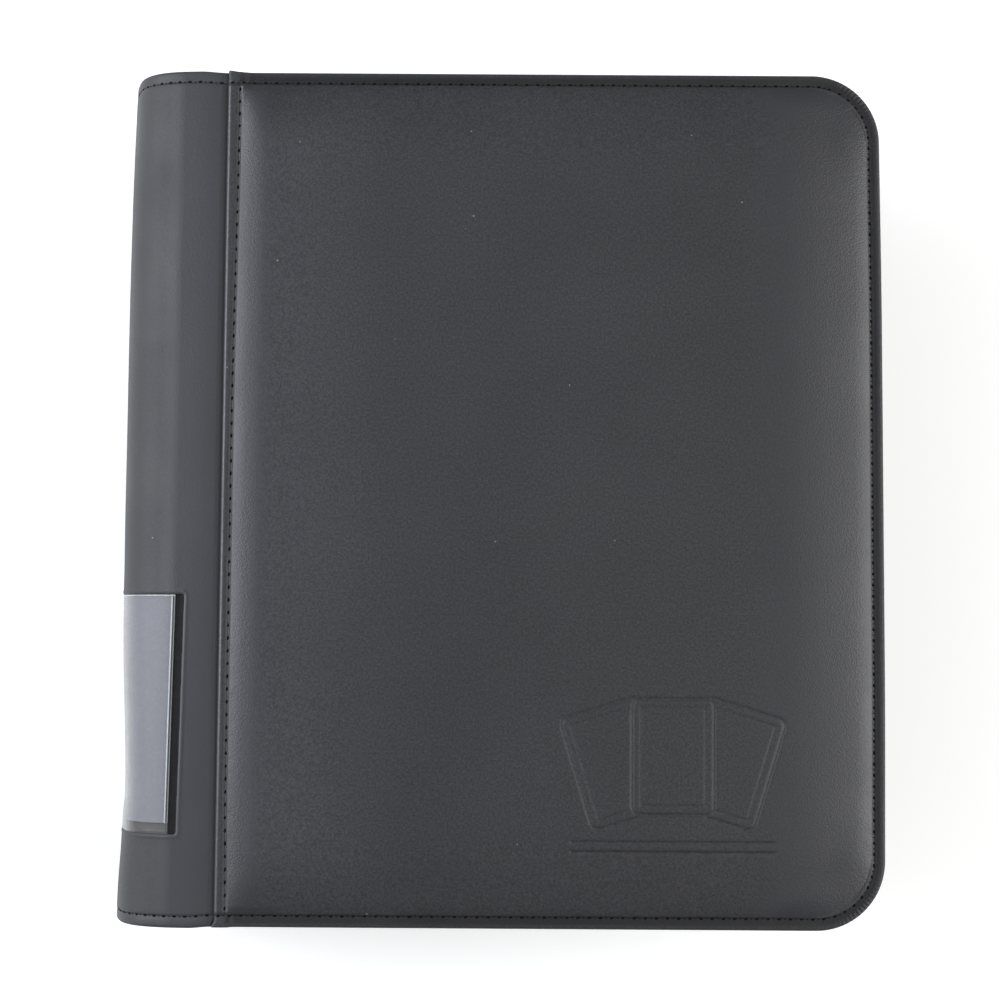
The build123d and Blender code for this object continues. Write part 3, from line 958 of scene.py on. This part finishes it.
def leather_grain():
    """Pebbles with fine pores between them, deeper in some places than in others."""
    recipe, entry, leave = effect(
        "leather grain", {"Cells per metre": 1000.0, "Crease": 0.5}, ("Height", "Shade")
    )
    bent = recipe.add("ShaderNodeTexNoise", {"Vector": entry[0], "Scale": 420.0, "Detail": 2.0})
    shift = recipe.vector("SCALE", {0: bent.outputs[1], "Scale": 0.0011}).outputs[0]
    place = recipe.vector("ADD", {0: entry[0], 1: shift}).outputs[0]
    cells = recipe.add("ShaderNodeTexVoronoi", {
        "Vector": place, "Scale": entry[1], "Smoothness": 0.6,
    }, feature="SMOOTH_F1")
    fine = recipe.noise(place, 3800.0, 2.0)
    pebble = recipe.span(cells.outputs[0], 0.15, 0.75, 1.0, 0.0, True)
    height = recipe.plus(recipe.times(pebble, 0.75), recipe.times(fine, 0.45))
    broad = recipe.span(recipe.noise(entry[0], 26.0, 3.0), 0.35, 0.65, 0.75, 1.15)
    # Painted shade in the creases between the pebbles, for the Shade output.
    crease = recipe.times(recipe.math("SUBTRACT", 1.0, pebble), entry[2])
    recipe.feed(leave, {0: recipe.times(height, broad), 1: crease})
    return recipe.tree


def fine_dust():
    """Small round specks, most of them too small to show."""
    recipe, entry, leave = effect(
        "fine dust", {"Specks per metre": 90.0, "Amount": 0.5}, ("Mask",)
    )
    specks = recipe.add("ShaderNodeTexVoronoi", {"Vector": entry[0], "Scale": entry[1]})
    size = recipe.add("ShaderNodeSeparateColor", {0: specks.outputs[1]})
    radius = recipe.span(size.outputs[0], 0.4, 1.0, 0.0, 0.045)
    dot = recipe.math("LESS_THAN", specks.outputs[0], radius)
    recipe.feed(leave, {0: recipe.times(dot, entry[2])})
    return recipe.tree


def fine_scratches():
    """Fine marks that all run along y."""
    recipe, entry, leave = effect("fine scratches", {"Amount": 0.5}, ("Mask",))
    stretch = (2600.0, 60.0, 2600.0)
    long_y = recipe.add("ShaderNodeMapping", {"Vector": entry[0], "Scale": stretch}).outputs[0]
    mask = recipe.span(recipe.noise(long_y, 1.0, 4.0, 0.7), 0.4, 0.75)
    recipe.feed(leave, {0: recipe.times(mask, entry[1])})
    return recipe.tree


grain_group, dust_group, scratch_group = leather_grain(), fine_dust(), fine_scratches()


def finish(name):
    """A new material's recipe, its surface shader and its place on the object."""
    material = bpy.data.materials.new(name)
    material.use_nodes = True
    recipe = Recipe(material.node_tree)
    surface = material.node_tree.nodes["Principled BSDF"]
    place = recipe.add("ShaderNodeTexCoord").outputs["Object"]
    return material, recipe, surface, place


def leather_finish(name, colour, grain_depth, rough, fleck):
    """Coated leatherette: pebbled grain, uneven and flecked tone, light dust, with painted shade,
    painted highlights and painted light from the masks.
    """
    material, recipe, surface, place = finish(name)
    height, crease = recipe.add("ShaderNodeGroup", {
        "Vector": place, "Cells per metre": 1500.0, "Crease": 0.35,
    }, node_tree=grain_group).outputs
    dust = recipe.add("ShaderNodeGroup", {
        "Vector": place, "Specks per metre": 110.0, "Amount": 0.55,
    }, node_tree=dust_group).outputs[0]
    painted_shade_strip, taut_painted_highlight, pale = recipe.mask("painted_shade_strip"), recipe.mask("taut_painted_highlight"), recipe.mask("pale")
    tone = recipe.span(recipe.noise(place, 9.0, 4.0), 0.3, 0.7)
    base = recipe.mix(tone, shade(colour, 0.9), shade(colour, 1.1))
    flecks = recipe.span(recipe.noise(place, 1200.0, 3.0, 0.6), 0.35, 0.65, 1 - fleck, 1 + fleck)
    base = recipe.mix(1.0, base, flecks, "MULTIPLY")
    # Painted shade between the pebbles.
    base = recipe.mix(crease, base, shade(colour, 0.62))
    base = recipe.mix(dust, base, grey(0.33))
    # Painted shade on the border strip, a painted highlight on taut leather and painted light
    # where the pale mask says.
    base = recipe.mix(painted_shade_strip, base, shade(colour, 0.42))
    base = recipe.mix(taut_painted_highlight, base, shade(colour, 1.25))
    base = recipe.mix(pale, base, recipe.mix(1.0, base, grey(1.35), "MULTIPLY"))
    patch = recipe.span(recipe.noise(place, 31.0, 5.0), 0.3, 0.7, rough - 0.04, rough + 0.05)
    patch = recipe.plus(patch, recipe.times(crease, 0.12))
    smoother = recipe.times(recipe.math("MAXIMUM", painted_shade_strip, taut_painted_highlight), 0.13)
    recipe.feed(surface, {
        "Base Color": base, "Roughness": recipe.math("SUBTRACT", patch, smoother),
        "Normal": recipe.relief(height, grain_depth),
    })
    return material


leather_colour = (0.031, 0.031, 0.0355)
leather_black = leather_finish("black leatherette", leather_colour, 0.000045, 0.53, 0.42)
spine_black = leather_finish("smooth black leatherette", leather_colour, 0.000026, 0.53, 0.1)
lining_black = leather_finish("black lining", (0.030, 0.031, 0.034), 0.00006, 0.62, 0.1)


def thread_finish():
    """Twisted black thread."""
    material, recipe, surface, place = finish("black thread")
    fibre = recipe.noise(place, 9000.0, 2.0)
    recipe.feed(surface, {
        "Base Color": recipe.mix(fibre, grey(0.002), grey(0.008)), "Roughness": 0.9,
        "Specular IOR Level": 0.08, "Normal": recipe.relief(fibre, 0.00005),
    })
    return material


def card_finish():
    """Pale card with faint fibres."""
    material, recipe, surface, place = finish("pale card")
    fibre = recipe.noise(place, 1400.0, 4.0, 0.6)
    cloud = recipe.noise(place, 60.0, 3.0)
    tone = recipe.plus(recipe.times(fibre, 0.5), recipe.times(cloud, 0.5))
    recipe.feed(surface, {
        "Base Color": recipe.mix(tone, shade((0.204, 0.206, 0.240)), shade((0.262, 0.265, 0.303))),
        "Roughness": 0.7, "Normal": recipe.relief(fibre, 0.000012),
    })
    return material


def film_finish():
    """Thin clear film with faint scuffs, a painted sheen where it is seen edge-on, and painted
    glints that make it less clear along its rim.
    """
    material, recipe, surface, place = finish("clear film")
    scuff = recipe.noise(place, 900.0, 4.0, 0.7)
    rim = recipe.mask("rim")
    facing = recipe.add("ShaderNodeLayerWeight", {"Blend": 0.35}).outputs["Facing"]
    scuffed = recipe.span(scuff, 0.35, 0.75, 0.06, 0.12)
    # Painted sheen: the film turns more opaque where it is seen edge-on.
    cover = recipe.plus(scuffed, recipe.span(facing, 0.3, 0.9, 0.0, 0.7))
    # Painted glints: the rim mask makes the film a paler bluish grey and more opaque.
    recipe.feed(surface, {
        "Base Color": recipe.mix(rim, shade((0.357, 0.349, 0.340)), shade((0.50, 0.56, 0.60))),
        "Roughness": recipe.span(scuff, 0.3, 0.7, 0.16, 0.30), "IOR": 1.5,
        "Alpha": recipe.plus(cover, recipe.times(rim, 0.75)),
        "Normal": recipe.relief(recipe.noise(place, 90.0, 2.0), 0.00016),
    })
    return material


def steel_finish():
    """Bright plated steel with fine wear."""
    material, recipe, surface, place = finish("plated steel")
    marks = recipe.add(
        "ShaderNodeGroup", {"Vector": place, "Amount": 0.8}, node_tree=scratch_group
    ).outputs[0]
    cloud = recipe.noise(place, 70.0, 4.0)
    rough = recipe.span(cloud, 0.3, 0.7, 0.14, 0.22)
    recipe.feed(surface, {
        "Base Color": recipe.mix(cloud, shade((0.60, 0.61, 0.63)), shade((0.74, 0.75, 0.77))),
        "Metallic": 1.0, "Roughness": recipe.plus(rough, recipe.times(marks, 0.16)),
        "Normal": recipe.relief(marks, 0.000015),
    })
    return material


def fibre_finish(name, dark, light, scale, rough, specular=0.5):
    """Pressed fibre, for the boards, the spine's sheet and the window's floor."""
    material, recipe, surface, place = finish(name)
    flecks = recipe.noise(place, scale, 5.0, 0.7)
    recipe.feed(surface, {
        "Base Color": recipe.mix(recipe.span(flecks, 0.3, 0.7), shade(dark), shade(light)),
        "Roughness": rough, "Specular IOR Level": specular,
        "Normal": recipe.relief(flecks, 0.0001),
    })
    return material


thread_black = thread_finish()
card_pale = card_finish()
film_clear = film_finish()
steel_plated = steel_finish()
board_grey = fibre_finish("grey board", (0.16, 0.15, 0.13), (0.30, 0.28, 0.25), 900.0, 0.85)
recess_black = fibre_finish(
    "black window floor", (0.014, 0.014, 0.0155), (0.025, 0.025, 0.0272), 500.0, 0.75, 0.1
)
sheet_black = fibre_finish("black spine sheet", (0.012,) * 3, (0.03,) * 3, 700.0, 0.7)


def wear(piece, material):
    """Gives a piece this finish alone."""
    piece.data.materials.clear()
    piece.data.materials.append(material)


def wear_inside(piece, material, mask):
    """A second finish on the faces whose corners carry the mask."""
    piece.data.materials.append(material)
    values = piece.data.attributes[mask].data
    for face in piece.data.polygons:
        if sum(values[index].value for index in face.vertices) > 0.5 * len(face.vertices):
            face.material_index = 1


for panel in (front_panel, back_panel):
    wear(panel, leather_black)
for made in spine_pieces:
    wear(made["wrap"], spine_black)
    wear_inside(made["wrap"], recess_black, "recess")
    wear(made["core"], sheet_black)
    wear(made["lining"], lining_black)
    wear(made["sleeve"], film_clear)
    wear(made["card"], card_pale)
    for row in ("border", "seam", "ends"):
        wear(made[row], thread_black)
for name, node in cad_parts.items():
    if node.hide_render:
        continue
    wear(node, board_grey if name.endswith("_board") else steel_plated)


# --- floor, light and camera ---
def studio_floor():
    """White floor that stays white to the camera and keeps a soft shadow.

    It shines only for rays that come straight, or mirrored, from the camera, more so further out.
    """
    bpy.ops.object.select_all(action="DESELECT")
    bpy.ops.mesh.primitive_plane_add(size=9, location=(0, 0, -0.0002))
    floor = bpy.context.object
    floor.name = "studio_floor"
    material, recipe, surface, place = finish("white floor")
    seen = recipe.add("ShaderNodeLightPath")
    indirect = recipe.math(
        "MAXIMUM", seen.outputs["Is Glossy Ray"], seen.outputs["Is Transmission Ray"]
    )
    shown = recipe.math("MAXIMUM", seen.outputs["Is Camera Ray"], indirect)
    away = recipe.vector("LENGTH", {0: place}).outputs["Value"]
    strength = recipe.span(away, 0.35, 1.6, 0.40, 0.95, True)
    recipe.feed(surface, {
        "Base Color": grey(0.86), "Roughness": 0.9, "Specular IOR Level": 0.0,
        "Emission Color": grey(1), "Emission Strength": recipe.times(shown, strength),
    })
    wear(floor, material)


def soft_box(name, place, aim, size, power, tint):
    """A rectangular light, its place and size in metres and its power in watts."""
    light = bpy.data.lights.new(name, "AREA")
    light.shape, light.size, light.size_y, light.energy = "RECTANGLE", size[0], size[1], power
    light.color = tint
    lamp = bpy.data.objects.new(name, light)
    bpy.context.scene.collection.objects.link(lamp)
    lamp.location = place
    lamp.rotation_euler = (Vector(aim) - Vector(place)).to_track_quat("-Z", "Y").to_euler()


studio_floor()
soft_box("left_box", (-0.85, 0.18, 0.66), (-0.05, 0.03, 0.05), (0.8, 0.6), 8.8, (0.87, 0.925, 1.0))
soft_box("right_box", (1.2, 0.0, 1.05), (0, 0, 0.05), (1.2, 1.1), 13.8, (1.0, 1.0, 0.98))

world = bpy.data.worlds.new("studio")
bpy.context.scene.world = world
world.use_nodes = True
# White to the camera. To the part it glows from the left and right, and hardly from elsewhere.
sky = Recipe(world.node_tree)
heading = sky.add("ShaderNodeSeparateXYZ", {0: sky.add("ShaderNodeTexCoord").outputs["Generated"]})
sideways, lengthways = [sky.math("ABSOLUTE", heading.outputs[axis]) for axis in (0, 1)]
glow = sky.span(sideways, 0.1, 0.95, 0.10, 1.6, True)
glow = sky.times(glow, sky.span(lengthways, 0.05, 0.7, 1.0, 0.2))
seen = sky.add("ShaderNodeLightPath").outputs["Is Camera Ray"]
glow = sky.times(glow, sky.math("SUBTRACT", 1.0, seen))
sky.feed(world.node_tree.nodes["Background"], {"Color": grey(1), "Strength": sky.plus(glow, seen)})

# The camera looks down on the front cover from 0.67 m.
camera = bpy.data.cameras.new("camera")
camera.sensor_width, camera.lens = 36.0, 64.78
camera.clip_start, camera.clip_end = 0.05, 20.0
viewer = bpy.data.objects.new("camera", camera)
bpy.context.scene.collection.objects.link(viewer)
lean = Euler((math.radians(-4.10), math.radians(-0.08), math.radians(-0.37)), "XYZ").to_matrix()
centre = Vector((-1.75, 0, border_z)) * MM
stand = Matrix.Translation(Vector((-2.9, 2.2, -666.8)) * MM) @ lean.to_4x4()
viewer.matrix_world = Matrix.Translation(centre) @ stand.inverted()
bpy.context.scene.camera = viewer
bpy.context.scene.view_settings.view_transform = "Standard"
